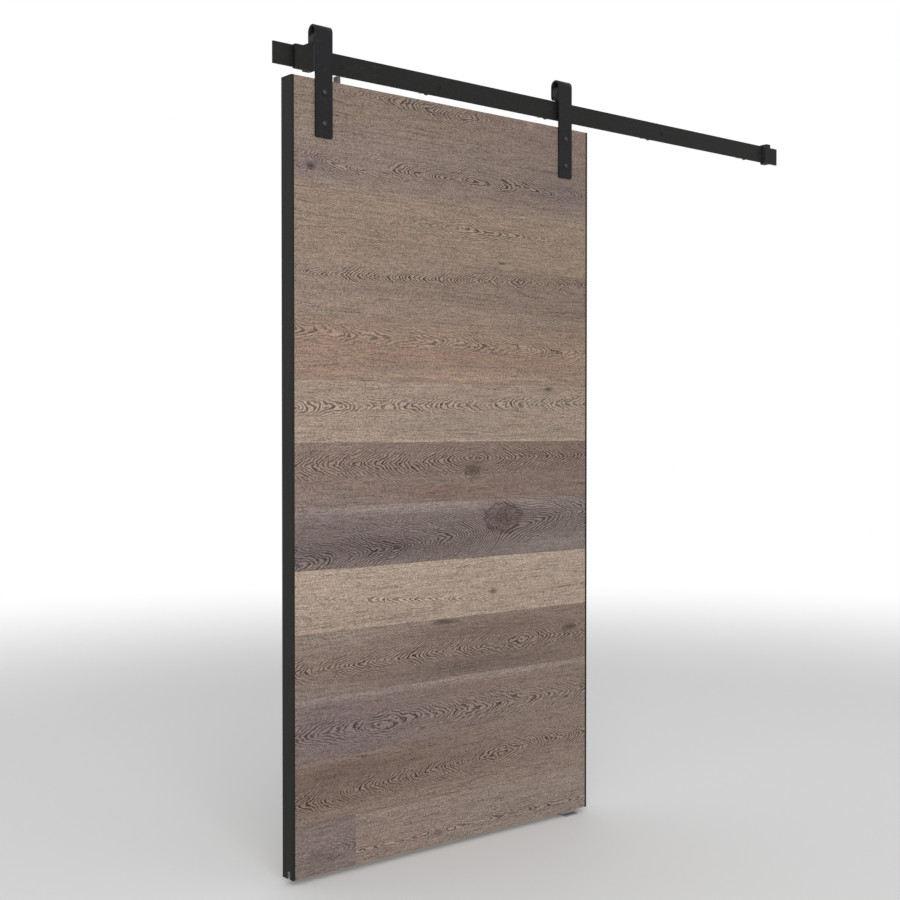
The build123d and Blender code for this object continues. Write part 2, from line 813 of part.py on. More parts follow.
# Anti-jump blocks: plastic blocks on the leaf's top edge that keep it from lifting off
for side, screw_place in zip(["left", "right"], anti_jump_screw_places):
    with BuildPart() as anti_jump:
        with BuildSketch(facing_up(screw_place.origin.X, anti_jump_front_y, leaf_top_z)):
            Rectangle(anti_jump_length, anti_jump_depth, align=(Align.CENTER, Align.MIN))
        extrude(amount=anti_jump_top_z - leaf_top_z)
        chamfer(anti_jump.edges().filter_by(Axis.Z), length=anti_jump_corner)
        with Locations(screw_place.offset(anti_jump_screw_seat)):
            Hole(anti_jump_screw_head_diameter / 2 + screw_fit, depth=anti_jump_screw_seat)
        with Locations(screw_place):
            CounterSinkHole(
                anti_jump_screw_diameter / 2 + screw_fit,
                anti_jump_screw_head_diameter / 2 + screw_fit,
                depth=anti_jump_seat_z - leaf_top_z,
                counter_sink_angle=countersink_angle,
            )
    finish(anti_jump.part, "anti_jump_" + side)

# Anti-jump screws: countersunk wood screws down into the leaf core
with BuildPart() as anti_jump_screws:
    for place in anti_jump_screw_places:
        flat_screw(
            place,
            anti_jump_screw_head_diameter,
            anti_jump_screw_diameter,
            anti_jump_screw_length,
            wood_screw_point,
        )
finish(anti_jump_screws.part, "anti_jump_screws")
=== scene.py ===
import math

import bpy
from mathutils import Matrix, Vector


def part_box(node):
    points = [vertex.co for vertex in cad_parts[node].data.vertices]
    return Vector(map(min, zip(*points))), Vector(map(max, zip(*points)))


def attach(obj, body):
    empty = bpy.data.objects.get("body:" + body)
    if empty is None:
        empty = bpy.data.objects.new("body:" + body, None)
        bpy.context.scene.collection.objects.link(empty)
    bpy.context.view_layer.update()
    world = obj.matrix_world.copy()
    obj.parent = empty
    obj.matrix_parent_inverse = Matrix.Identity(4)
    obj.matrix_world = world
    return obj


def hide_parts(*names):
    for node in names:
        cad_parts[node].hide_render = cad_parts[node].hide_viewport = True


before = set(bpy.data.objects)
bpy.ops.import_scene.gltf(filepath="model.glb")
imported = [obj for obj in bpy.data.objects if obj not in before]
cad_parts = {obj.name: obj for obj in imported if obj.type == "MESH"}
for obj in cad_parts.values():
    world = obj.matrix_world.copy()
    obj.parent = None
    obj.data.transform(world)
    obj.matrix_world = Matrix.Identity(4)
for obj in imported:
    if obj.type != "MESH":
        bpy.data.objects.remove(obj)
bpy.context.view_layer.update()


# Rail
# One flat steel bar, 58 by 6 mm, cut to length, drilled for its wall bolts and powder coated
# satin black. Its top edge is the track, where the wheels have rubbed the coat a little brighter.
class Wire:
    """One socket of a material. Sums on wires add Math nodes, so shader maths reads as sums."""

    def __init__(self, tree, socket):
        self.tree = tree
        self.socket = socket

    def add(self, kind, settings, inputs, output=0):
        """Adds a node, gives it its settings and then its values or links."""
        node = self.tree.nodes.new(kind)
        for name, value in settings.items():
            setattr(node, name, value)
        for name, value in inputs.items():
            if isinstance(value, Wire):
                self.tree.links.new(value.socket, node.inputs[name])
            else:
                node.inputs[name].default_value = value
        return Wire(self.tree, node.outputs[output])

    def math(self, operation, *values):
        """Adds a Math node on these values or wires."""
        return self.add("ShaderNodeMath", {"operation": operation}, dict(enumerate(values)))

    def __add__(self, other):
        return self.math("ADD", self, other)

    def __sub__(self, other):
        return self.math("SUBTRACT", self, other)

    def __mul__(self, other):
        return self.math("MULTIPLY", self, other)

    def __truediv__(self, other):
        return self.math("DIVIDE", self, other)

    def __pow__(self, other):
        return self.math("POWER", self, other)

    def __rsub__(self, other):
        return self.math("SUBTRACT", other, self)

    __radd__ = __add__
    __rmul__ = __mul__

    def step(self, low, high):
        """Rises smoothly from 0 to 1 as the wire goes from low to high."""
        limits = {"Value": self, "From Min": low, "From Max": high}
        return self.add("ShaderNodeMapRange", {"interpolation_type": "SMOOTHSTEP"}, limits)

    def hill(self, middle, reach):
        """A bell of height 1 round the middle, down to a third at the reach."""
        away = (self - middle) / reach
        return self.math("EXPONENT", 0.0 - away * away)

    def mix(self, first, second):
        """Mixes two colours by the wire."""
        return self.add("ShaderNodeMix", {"data_type": "RGBA"}, {0: self, 6: first, 7: second}, 2)

    def scale(self, factor):
        """Makes a colour lighter or darker, or a vector longer or shorter."""
        return self.add("ShaderNodeVectorMath", {"operation": "SCALE"}, {0: self, "Scale": factor})


class Finish:
    """A material with its shader, and the place on the piece in millimetres."""

    def __init__(self, name):
        self.material = bpy.data.materials.new(name)
        self.material.use_nodes = True
        self.tree = self.material.node_tree
        self.shader = self.tree.nodes["Principled BSDF"]
        coordinates = self.tree.nodes.new("ShaderNodeTexCoord")
        place = Wire(self.tree, coordinates.outputs["Object"]).scale(1000.0)
        split = self.tree.nodes.new("ShaderNodeSeparateXYZ")
        self.tree.links.new(place.socket, split.inputs[0])
        self.x = Wire(self.tree, split.outputs["X"])
        self.y = Wire(self.tree, split.outputs["Y"])
        self.z = Wire(self.tree, split.outputs["Z"])

    def set(self, **values):
        """Sets or links the shader's sockets, named with _ for a space."""
        for name, value in values.items():
            socket = self.shader.inputs[name.replace("_", " ")]
            if isinstance(value, Wire):
                self.tree.links.new(value.socket, socket)
            else:
                socket.default_value = value

    def noise(self, size, detail=2.0, seed=0.0):
        """Noise from 0 to 1 whose lumps are about size millimetres long in x, y and z."""
        place = self.x.add(
            "ShaderNodeCombineXYZ",
            {},
            {"X": self.x / size[0] + seed, "Y": self.y / size[1], "Z": self.z / size[2]},
        )
        return self.x.add("ShaderNodeTexNoise", {}, {"Vector": place, "Scale": 1.0, "Detail": detail})

    def bump(self, height, millimetres):
        """Raises the surface by the wire's height times a size in millimetres."""
        relief = {"Height": height, "Distance": millimetres / 1000}
        self.set(Normal=height.add("ShaderNodeBump", {}, relief))


def tone(red, green, blue):
    """A colour as a screen shows it, from 0 to 255, as the shader's linear light."""
    linear = []
    for level in (red, green, blue):
        share = level / 255
        linear.append(share / 12.92 if share <= 0.04045 else ((share + 0.055) / 1.055) ** 2.4)
    return (*linear, 1.0)


coat_specular = 0.10


def black_coat(name, colour, rough, rubbed_height=None):
    """
    A satin black powder coat: a fine orange peel, faint cloudiness and a few dusty marks.
    rubbed_height: the height in millimetres near which rubbing has brightened the coat
    """
    finish = Finish(name)
    cloud = finish.noise((90.0, 90.0, 90.0), 3.0)
    peel = finish.noise((0.9, 0.9, 0.9), 1.0, 3.0)
    dust = finish.noise((16.0, 16.0, 11.0), 5.0, 8.0).step(0.50, 0.82)
    shade = (0.82 + 0.36 * cloud).mix(tone(0, 0, 0), colour)
    shade = (0.06 * dust).mix(shade, tone(120, 118, 114))
    roughness = rough + 0.10 * (cloud - 0.5) + 0.12 * dust
    if rubbed_height is not None:
        streaks = finish.noise((60.0, 1.2, 4.0), 3.0, 5.0)
        rubbed = finish.z.step(rubbed_height - 0.7, rubbed_height - 0.1) * streaks.step(0.35, 0.60)
        shade = (0.55 * rubbed).mix(shade, tone(104, 102, 100))
        roughness = roughness - 0.14 * rubbed
    finish.set(Base_Color=shade, Roughness=roughness)
    finish.set(Specular_IOR_Level=coat_specular)
    finish.bump(peel, 0.05)
    return finish.material


def dress(node, material):
    """Gives a piece of the frame its finish."""
    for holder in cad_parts[node].material_slots:
        holder.material = material


sharp_angle = math.radians(40.0)


def ease_edges(node, millimetres):
    """Rounds the sharp edges of a piece of the frame a little, as deburring and the coat do."""
    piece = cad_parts[node]
    weld = piece.modifiers.new("joined faces", "WELD")
    weld.merge_threshold = 0.00001
    easing = piece.modifiers.new("eased edges", "BEVEL")
    easing.width = millimetres / 1000
    easing.segments = 2
    easing.limit_method = "ANGLE"
    easing.angle_limit = sharp_angle
    easing.harden_normals = True


rail_top = 29.0
rail_coat = black_coat("rail_coat", tone(34, 35, 33), 0.46, rubbed_height=rail_top)
dress("rail", rail_coat)


# Standoffs and wall bolts
# Five turned steel tubes, 60 mm long, stand behind the rail, each with a low domed lag bolt
# through the bar and the tube. Tubes and heads are black, and the threads are zinc plated.
def turned(name, place, toward, outline, sides=48, hollow=False):
    """
    Turns a piece on an axis along Y from an outline of (radius, height) in millimetres.
    place: where height 0 is on the axis, in millimetres
    toward: 1 for heights that grow backwards along Y, -1 for heights that grow forwards
    hollow: whether the outline comes back to its start, as a ring's does
    """
    steps = outline + outline[:1] if hollow else outline
    radius, height = steps[0]
    x, y, z = [size / 1000 for size in place]
    bpy.ops.object.select_all(action="DESELECT")
    bpy.ops.mesh.primitive_circle_add(
        vertices=sides,
        radius=radius / 1000,
        location=(x, y + toward * height / 1000, z),
        rotation=(math.radians(90.0), 0.0, 0.0),
    )
    piece = bpy.context.object
    piece.name = name
    bpy.ops.object.mode_set(mode="EDIT")
    bpy.ops.mesh.select_all(action="SELECT")
    for next_radius, next_height in steps[1:]:
        rise = toward * (next_height - height) / 1000
        bpy.ops.mesh.extrude_region_move(TRANSFORM_OT_translate={"value": (0.0, rise, 0.0)})
        spread = next_radius / radius
        middle = (x, y + toward * next_height / 1000, z)
        bpy.ops.transform.resize(value=(spread, spread, spread), center_override=middle)
        radius, height = next_radius, next_height
    bpy.ops.mesh.select_all(action="SELECT")
    if hollow:
        bpy.ops.mesh.remove_doubles(threshold=0.000005)
    else:
        bpy.ops.mesh.fill_holes(sides=sides)
    bpy.ops.mesh.normals_make_consistent(inside=False)
    bpy.ops.object.mode_set(mode="OBJECT")
    bpy.ops.object.transform_apply(location=True, rotation=True, scale=True)
    bpy.ops.object.shade_smooth_by_angle(angle=sharp_angle)
    return piece


def sink_hexagon(piece, place, across_flats, depth):
    """Cuts a hexagon drive recess into a head that faces forwards."""
    x, y, z = [size / 1000 for size in place]
    bpy.ops.object.select_all(action="DESELECT")
    bpy.ops.mesh.primitive_cylinder_add(
        vertices=6,
        radius=across_flats / 1000 / math.sqrt(3.0),
        depth=2.0 * depth / 1000,
        location=(x, y, z),
        rotation=(math.radians(90.0), 0.0, 0.0),
    )
    cutter = bpy.context.object
    bpy.context.view_layer.objects.active = piece
    cut = piece.modifiers.new("drive", "BOOLEAN")
    cut.operation = "DIFFERENCE"
    cut.object = cutter
    bpy.ops.object.modifier_apply(modifier=cut.name)
    bpy.data.objects.remove(cutter)


def repeat(piece, name, moves):
    """Copies a piece by each move in millimetres and joins the copies with it under one name."""
    copies = []
    for move in moves:
        bpy.ops.object.select_all(action="DESELECT")
        piece.select_set(True)
        bpy.context.view_layer.objects.active = piece
        bpy.ops.object.duplicate()
        bpy.ops.transform.translate(value=[size / 1000 for size in move])
        bpy.ops.object.transform_apply(location=True, rotation=False, scale=False)
        copies.append(bpy.context.object)
    bpy.ops.object.select_all(action="DESELECT")
    for copy in copies:
        copy.select_set(True)
    piece.select_set(True)
    bpy.context.view_layer.objects.active = piece
    bpy.ops.object.join()
    piece.name = name
    return piece


def dome(radius, height, steps=7):
    """The outline of a low domed head, from its crown down to its seat, a quarter of it upright rim."""
    crown = []
    for step in range(1, steps + 1):
        angle = math.radians(90.0) * step / steps
        crown.append((radius * math.sin(angle), 0.25 * height + 0.75 * height * math.cos(angle)))
    return crown + [(radius, 0.0)]


fitting_coat = black_coat("fitting_coat", tone(34, 34, 34), 0.38)
for number in range(1, 6):
    dress("rail_standoff_%d" % number, fitting_coat)

rail_front = -66.0
wall_bolt_xs = (0.0, -824.0, -479.0, 479.0, 994.0)
wall_bolt_head_height = 2.6
wall_bolt_shank = 4.0
wall_bolt_shank_end = -66.0
lag_root = 2.9
lag_crest = 3.8
lag_pitch = 3.4
lag_thread = []
for turn_number in range(7):
    start = wall_bolt_shank_end - 1.5 - lag_pitch * turn_number
    lag_thread += [(lag_root, start), (lag_crest, start - 0.9)]
    lag_thread += [(lag_crest, start - 1.3), (lag_root, start - 2.3)]
wall_bolt_outline = dome(8.0, wall_bolt_head_height)
wall_bolt_outline += [(wall_bolt_shank, 0.0), (wall_bolt_shank, wall_bolt_shank_end), (3.4, -66.8)]
wall_bolt_outline += lag_thread + [(2.6, -94.0), (0.4, -102.0)]
wall_bolt = turned("wall_bolt", (0.0, rail_front, 0.0), -1, wall_bolt_outline)
sink_hexagon(wall_bolt, (0.0, rail_front - wall_bolt_head_height, 0.0), 5.0, 1.8)
plated = Finish("plated_bolt")
spangle = plated.noise((1.6, 1.6, 1.6), 3.0)
black_end = -1.6
zinc_start = -1.0
bare = plated.y.step(black_end, zinc_start)
plated.set(
    Base_Color=bare.mix(tone(34, 34, 34), spangle.mix(tone(150, 151, 154), tone(190, 190, 192))),
    Roughness=0.36 + 0.14 * spangle,
    Metallic=bare,
)
plated.set(Specular_IOR_Level=coat_specular)
plated.bump(spangle, 0.04)
wall_bolt.data.materials.append(plated.material)
moves = [(x, 0.0, 0.0) for x in wall_bolt_xs[1:]]
wall_bolts = repeat(wall_bolt, "wall_bolts_turned", moves)
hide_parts("wall_bolts")
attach(wall_bolts, "track")


# End stops
# A milled steel block is pushed on to each end of the rail and clamped from below by two grub
# screws. The left block has a low tail on the rail's face. Both are coated a little deeper black.
stop_coat = black_coat("stop_coat", tone(33, 33, 32), 0.46)
dress("end_stop_left", stop_coat)
dress("end_stop_right", stop_coat)
stop_easing = 0.4
ease_edges("end_stop_left", stop_easing)
ease_edges("end_stop_right", stop_easing)
dress("stop_grub_screws", fitting_coat)


# Stop pads
# Each block carries a moulded rubber pad on the face that meets the hanger's edge.
# The rubber is matte, with a fine moulded grain and pale bloom.
rubber = Finish("pad_rubber")
bloom = rubber.noise((12.0, 12.0, 12.0), 4.0).step(0.45, 0.75)
rubber.set(Base_Color=bloom.mix(tone(24, 24, 24), tone(38, 38, 37)), Roughness=0.72 + 0.15 * bloom)
rubber.bump(rubber.noise((0.6, 0.6, 0.6)), 0.06)
dress("stop_pad_left", rubber.material)
dress("stop_pad_right", rubber.material)


# Leaf core
# A plain sawn softwood panel fills the leaf between its two faces. It shows only as the floor
# of the joints, along the top edge and round the fasteners, so it stays unfinished and pale.
core = Finish("core_wood")
core_streak = core.noise((420.0, 2.4, 5.0), 4.0)
core_cloud = core.noise((160.0, 20.0, 70.0), 2.0, 4.0)
core_shade = core_streak.step(0.30, 0.70).mix(tone(166, 142, 112), tone(196, 174, 142))
core_shade = core_shade.scale(0.88 + 0.24 * core_cloud)
core.set(Base_Color=core_shade, Roughness=0.66 + 0.16 * core_streak)
core.bump(core_streak, 0.25)
dress("leaf_core", core.material)


# Front boards
# Tongued and grooved oak boards, 14 mm thick, lie in thirteen rows with the bottom row in two
# lengths. Each is flat sawn, smoked, limed and oiled to a matte grey brown, so its ring lines
# run as arches along one heart line and fade into straight grain towards the board's edges.

# The figure lies on a field as long as the leaf, from 6 mm inside the leaf's left edge
figure_left = -987.0
figure_length = 1100.0
leaf_bottom = -2185.6
everywhere = (550.0, 3000.0)
turn_softness = 20.0
knot_push = 6.0
oiled_specular = 0.3


def board_wood(name, seed, ends, heart, arches, ring, figure, window=everywhere, patches=(), knots=()):
    """
    One board's oak. Places on it are millimetres along the leaf from figure_left, and up from
    the leaf's lower edge.
    ends: its colour at the left and at the right, whose difference is partly painted light and shade
    across the leaf
    heart: the height of the heart line at the left end and at the right end, and its waviness
    arches: where the arches turn, how many rings they wander, and how blunt their points are
    ring: how far apart the lines are along the heart line, and how far apart across the board
    figure: how dark the ring lines are, and how far from the heart line they reach
    window: round which place along the board the arches show, and how far to each side
    patches: softly tinted areas, each with its place, half size, colour and strength
    knots: each with its place, half size and darkness
    """
    wood = Finish(name)
    along = wood.x - figure_left
    up = wood.z - leaf_bottom

    # The ground colour, with its soft tints
    # The ground colour runs from one end's colour to the other's; part of that change is painted light
    # and shade, set against how the lamp's light falls across the leaf.
    run = along.step(0.0, figure_length)
    shade = run.mix(ends[0], ends[1])
    for (patch_x, patch_z), (half_length, half_height), colour, strength in patches:
        inside = along.hill(patch_x, half_length) * up.hill(patch_z, half_height)
        shade = (inside * strength).mix(shade, colour)

    # The year rings, as the board's face cuts them
    sway = wood.noise((190.0, 60.0, 900.0), 1.0, seed) - 0.5
    off_heart = up - heart[0] - (heart[1] - heart[0]) / figure_length * along - heart[2] * sway
    past_turn = along - arches[0]
    wander = wood.noise((130.0, 30.0, 70.0), 1.0, seed + 11.0) - 0.5
    ripple = wood.noise((22.0, 9.0, 10.0), 2.0, seed + 23.0) - 0.5
    kink = wood.noise((60.0, 20.0, 26.0), 1.0, seed + 29.0) - 0.5
    crumb = wood.noise((4.6, 2.2, 2.5), 1.0, seed + 37.0) - 0.5
    rings = ((off_heart * off_heart + arches[2] ** 2) ** 0.5) / ring[1] + arches[1] * wander
    rings = rings + ((past_turn * past_turn + turn_softness ** 2) ** 0.5) / ring[0]
    rings = rings + 1.8 * ripple + 1.9 * kink
    marked = off_heart.hill(0.0, figure[1]) * along.hill(window[0], window[1])

    # Knots, which push the rings aside
    knot_shade = 1.0
    knots_inside = []
    for (knot_x, knot_z), (half_length, half_height), darkness in knots:
        lengthwise = (along - knot_x) / half_length
        crosswise = (up - knot_z) / half_height
        distance = (lengthwise * lengthwise + crosswise * crosswise) ** 0.5 + 0.6 * ripple + 0.5 * kink
        rings = rings + knot_push * distance.hill(0.0, 1.5)
        marked = marked.math("MAXIMUM", marked, distance.hill(0.0, 1.4))
        inside = 1.0 - distance.step(0.50, 1.12)
        knots_inside.append((inside, distance))
        knot_shade = knot_shade * (1.0 - darkness * inside * (0.75 + 0.45 * distance.hill(0.0, 0.5)))

    # One dark line a ring, fainter in some years, with pale early wood between
    year = rings.math("FLOOR", rings) + seed
    growth = year.add("ShaderNodeTexWhiteNoise", {"noise_dimensions": "1D"}, {"W": year})
    line = rings.math("FRACT", rings).step(0.44, 0.74) * (0.60 + 0.40 * growth)
    fade = wood.noise((110.0, 40.0, 40.0), 2.0, seed + 31.0).step(0.26, 0.48)
    line = line * marked * fade
    for inside, distance in knots_inside:
        turns = 3.2 * distance + 1.6 * ripple
        line = line * (1.0 - inside) + 0.6 * inside * turns.math("FRACT", turns).step(0.45, 1.0)
        line = line + 0.3 * distance.hill(0.95, 0.12)
    pale = marked * fade * (1.0 - line)

    # The fine grain: streaks, hairlines, clouds, pores and broken long lines
    streak = wood.noise((170.0, 6.0, 7.0), 2.0, seed + 41.0) - 0.5
    hair = wood.noise((60.0, 2.0, 2.4), 2.0, seed + 53.0) - 0.5
    cloud = wood.noise((240.0, 40.0, 55.0), 2.0, seed + 67.0) - 0.5
    pores = wood.noise((14.0, 1.0, 1.2), 1.0, seed + 83.0).step(0.60, 0.72)
    drift = wood.noise((420.0, 40.0, 90.0), 1.0, seed + 97.0)
    layers = up / 15.0 + 5.0 * drift + 0.5 * ripple
    broken = wood.noise((160.0, 30.0, 18.0), 2.0, seed + 103.0).step(0.48, 0.66)
    long_line = layers.math("FRACT", layers).step(0.62, 1.0) * broken * (1.0 - marked)

    light = 1.01 + 0.32 * streak + 1.10 * hair + 0.12 * cloud + 1.90 * crumb
    light = (light + 0.28 * pale - 0.34 * long_line - 0.14 * pores) * knot_shade
    shade = shade.scale(light)
    shade = (figure[0] * line).mix(shade, tone(30, 21, 18))
    wood.set(Base_Color=shade, Roughness=0.62 + 0.16 * streak + 0.10 * pores)
    wood.set(Specular_IOR_Level=oiled_specular)
    wood.bump(0.5 * hair + streak - 0.8 * line - 0.7 * pores, 0.22)
    return wood.material


violet_grey = tone(112, 99, 100)
dark_brown = tone(102, 86, 77)
front_boards = {
    "front_board_1": dict(
        ends=(tone(131, 114, 102), tone(125, 108, 98)),
        heart=(2112.0, 2110.0, 14.0),
        arches=(600.0, 5.0, 5.0),
        ring=(16.0, 7.0),
        figure=(1.0, 27.0),
        window=(470.0, 340.0),
        patches=[
            ((855.0, 2118.0), (16.0, 11.0), tone(166, 146, 128), 0.6),
            ((930.0, 2070.0), (120.0, 40.0), tone(122, 104, 96), 0.5),
            ((300.0, 2020.0), (500.0, 26.0), tone(133, 116, 106), 0.6),
        ],
    ),
    "front_board_2": dict(
        ends=(tone(134, 117, 107), tone(126, 110, 100)),
        heart=(1914.0, 1930.0, 24.0),
        arches=(640.0, 9.0, 6.0),
        ring=(21.0, 5.6),
        figure=(1.0, 34.0),
        patches=[
            ((40.0, 1908.0), (80.0, 36.0), violet_grey, 0.6),
            ((1000.0, 1935.0), (120.0, 48.0), violet_grey, 0.5),
            ((550.0, 1849.0), (900.0, 18.0), tone(143, 125, 111), 0.7),
        ],
        knots=[((56.0, 1901.0), (14.0, 10.0), 0.6)],
    ),
    "front_board_3": dict(
        ends=(tone(143, 124, 109), tone(141, 122, 107)),
        heart=(1780.0, 1782.0, 16.0),
        arches=(560.0, 5.0, 5.0),
        ring=(34.0, 6.4),
        figure=(0.9, 30.0),
        window=(700.0, 300.0),
        patches=[((250.0, 1722.0), (320.0, 14.0), tone(136, 117, 104), 0.5)],
        knots=[((740.0, 1694.0), (14.0, 4.0), 0.6)],
    ),
    "front_board_4": dict(
        ends=(tone(143, 124, 111), tone(130, 112, 100)),
        heart=(1612.0, 1654.0, 10.0),
        arches=(815.0, 3.0, 3.0),
        ring=(14.0, 7.0),
        figure=(1.0, 22.0),
        patches=[
            ((100.0, 1660.0), (300.0, 20.0), tone(150, 131, 115), 0.6),
            ((900.0, 1565.0), (260.0, 24.0), tone(122, 104, 96), 0.4),
            ((820.0, 1640.0), (60.0, 26.0), tone(122, 104, 94), 0.5),
            ((400.0, 1582.0), (420.0, 9.0), dark_brown, 0.3),
            ((700.0, 1525.0), (500.0, 20.0), tone(143, 123, 110), 0.6),
        ],
    ),
    "front_board_5": dict(
        ends=(tone(146, 123, 108), tone(139, 119, 103)),
        heart=(1462.0, 1440.0, 22.0),
        arches=(-80.0, 5.0, 6.0),
        ring=(36.0, 7.5),
        figure=(0.65, 36.0),
        patches=[
            ((150.0, 1490.0), (400.0, 20.0), tone(138, 117, 103), 0.6),
            ((620.0, 1412.0), (560.0, 26.0), tone(147, 117, 102), 0.5),
            ((700.0, 1352.0), (520.0, 14.0), tone(165, 140, 125), 0.6),
        ],
    ),
    "front_board_6": dict(
        ends=(tone(157, 138, 124), tone(150, 132, 118)),
        heart=(1258.0, 1282.0, 8.0),
        arches=(285.0, 3.0, 12.0),
        ring=(-23.0, 6.4),
        figure=(0.85, 24.0),
        patches=[
            ((520.0, 1200.0), (200.0, 22.0), tone(138, 121, 112), 0.5),
            ((930.0, 1322.0), (34.0, 12.0), tone(112, 96, 87), 0.6),
            ((560.0, 1290.0), (200.0, 60.0), tone(146, 127, 114), 0.5),
            ((550.0, 1167.0), (900.0, 4.0), tone(176, 157, 142), 0.6),
        ],
        knots=[((930.0, 1322.0), (16.0, 6.0), 0.6)],
    ),
    "front_board_7": dict(
        ends=(tone(133, 114, 104), tone(124, 106, 96)),
        heart=(1102.0, 1118.0, 14.0),
        arches=(640.0, 3.0, 4.0),
        ring=(16.0, 8.0),
        figure=(1.0, 46.0),
        patches=[
            ((520.0, 1018.0), (320.0, 24.0), tone(123, 99, 89), 0.6),
            ((160.0, 1006.0), (200.0, 20.0), tone(132, 118, 113), 0.6),
            ((622.0, 1082.0), (46.0, 24.0), tone(100, 83, 75), 0.6),
        ],
        knots=[((620.0, 1078.0), (26.0, 13.0), 0.4)],
    ),
    "front_board_8": dict(
        ends=(tone(118, 104, 101), tone(121, 108, 103)),
        heart=(838.0, 938.0, 20.0),
        arches=(-160.0, 5.0, 6.0),
        ring=(17.0, 6.4),
        figure=(1.0, 76.0),
        patches=[
            ((420.0, 982.0), (700.0, 20.0), tone(148, 133, 126), 0.8),
            ((260.0, 872.0), (300.0, 30.0), tone(98, 84, 81), 0.7),
            ((940.0, 915.0), (110.0, 30.0), tone(98, 86, 81), 0.4),
            ((200.0, 828.0), (400.0, 14.0), tone(128, 114, 108), 0.6),
            ((1000.0, 850.0), (160.0, 26.0), tone(138, 125, 118), 0.6),
            ((745.0, 936.0), (84.0, 50.0), tone(112, 92, 88), 0.8),
        ],
        knots=[((745.0, 936.0), (70.0, 44.0), 0.38)],
    ),
    "front_board_9": dict(
        ends=(tone(167, 148, 133), tone(164, 146, 131)),
        heart=(752.0, 660.0, 10.0),
        arches=(1200.0, 3.0, 3.0),
        ring=(24.0, 7.4),
        figure=(0.85, 11.0),
        window=(400.0, 320.0),
        patches=[
            ((300.0, 672.0), (420.0, 20.0), tone(150, 131, 119), 0.6),
            ((500.0, 806.0), (620.0, 12.0), tone(176, 158, 141), 0.6),
        ],
        knots=[((705.0, 717.0), (15.0, 9.0), 0.6)],
    ),
    "front_board_10": dict(
        ends=(tone(132, 114, 103), tone(128, 110, 100)),
        heart=(553.0, 562.0, 8.0),
        arches=(818.0, 3.0, 4.0),
        ring=(19.0, 7.4),
        figure=(1.0, 36.0),
        patches=[
            ((110.0, 628.0), (260.0, 24.0), tone(146, 130, 120), 0.65),
            ((640.0, 606.0), (330.0, 22.0), tone(103, 88, 80), 0.55),
            ((620.0, 506.0), (430.0, 26.0), tone(106, 91, 86), 0.85),
            ((60.0, 494.0), (160.0, 9.0), tone(142, 128, 120), 0.5),
        ],
        knots=[((520.0, 641.0), (48.0, 7.0), 0.55), ((1026.0, 581.0), (34.0, 9.0), 0.6)],
    ),
    "front_board_11": dict(
        ends=(tone(124, 108, 103), tone(131, 114, 104)),
        heart=(378.0, 380.0, 14.0),
        arches=(310.0, 4.0, 8.0),
        ring=(25.0, 8.0),
        figure=(0.85, 44.0),
        patches=[
            ((550.0, 470.0), (900.0, 10.0), tone(152, 138, 130), 0.6),
            ((150.0, 370.0), (220.0, 80.0), tone(114, 101, 102), 0.5),
            ((700.0, 440.0), (360.0, 16.0), tone(120, 101, 92), 0.5),
        ],
    ),
    "front_board_12": dict(
        ends=(tone(121, 103, 92), tone(133, 115, 104)),
        heart=(200.0, 246.0, 16.0),
        arches=(735.0, 5.0, 5.0),
        ring=(15.0, 7.4),
        figure=(1.0, 36.0),
        patches=[
            ((170.0, 264.0), (260.0, 26.0), tone(104, 85, 75), 0.65),
            ((120.0, 302.0), (200.0, 8.0), tone(136, 122, 115), 0.5),
            ((500.0, 156.0), (700.0, 18.0), tone(143, 126, 114), 0.6),
        ],
    ),
    "front_bottom_board_left": dict(
        ends=(tone(124, 109, 103), tone(118, 103, 98)),
        heart=(60.0, 60.0, 20.0),
        arches=(90.0, 3.0, 6.0),
        ring=(24.0, 8.0),
        figure=(0.45, 30.0),
        patches=[
            ((76.0, 56.0), (34.0, 17.0), tone(96, 84, 81), 0.7),
            ((117.0, 38.0), (20.0, 10.0), tone(90, 79, 75), 0.6),
        ],
    ),
    "front_bottom_board_right": dict(
        ends=(tone(140, 123, 112), tone(140, 124, 114)),
        heart=(42.0, 34.0, 10.0),
        arches=(500.0, 3.0, 4.0),
        ring=(56.0, 5.6),
        figure=(0.8, 15.0),
        patches=[
            ((300.0, 126.0), (200.0, 9.0), tone(154, 137, 125), 0.6),
            ((980.0, 40.0), (90.0, 26.0), tone(126, 113, 104), 0.4),
        ],
        knots=[((493.0, 34.0), (16.0, 8.0), 0.45)],
    ),
}
front_seed_step = 7.3
for number, (name, look) in enumerate(front_boards.items()):
    dress(name, board_wood(name + "_oak", front_seed_step * number, **look))


# Back boards
# The same boards clad the back in the same thirteen rows, in one length each. They came from
# the same batch of oak, so they take the front's colours in another order.
back_seed = 200.0
back_seed_step = 6.1
for number in range(1, 14):
    twin = front_boards["front_board_%d" % (1 + number * 5 % 12)]
    name = "back_board_%d" % number if number < 13 else "back_bottom_board"
    low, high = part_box(name)
    middle = (low[2] + high[2]) * 500.0 - leaf_bottom
    oak = board_wood(
        name + "_oak",
        back_seed + back_seed_step * number,
        ends=twin["ends"],
        heart=(middle - 12.0, middle + 14.0, 20.0),
        arches=(figure_length - twin["arches"][0], *twin["arches"][1:]),
        ring=twin["ring"],
        figure=twin["figure"],
    )
    dress(name, oak)


# Edge strips
# A flat black strip covers each side of the leaf from top to bottom, over the boards' ends.
# It is coated like the rail, with the same fine peel.
strip_coat = black_coat("strip_coat", tone(39, 39, 37), 0.55)
dress("edge_strip_left", strip_coat)
dress("edge_strip_right", strip_coat)


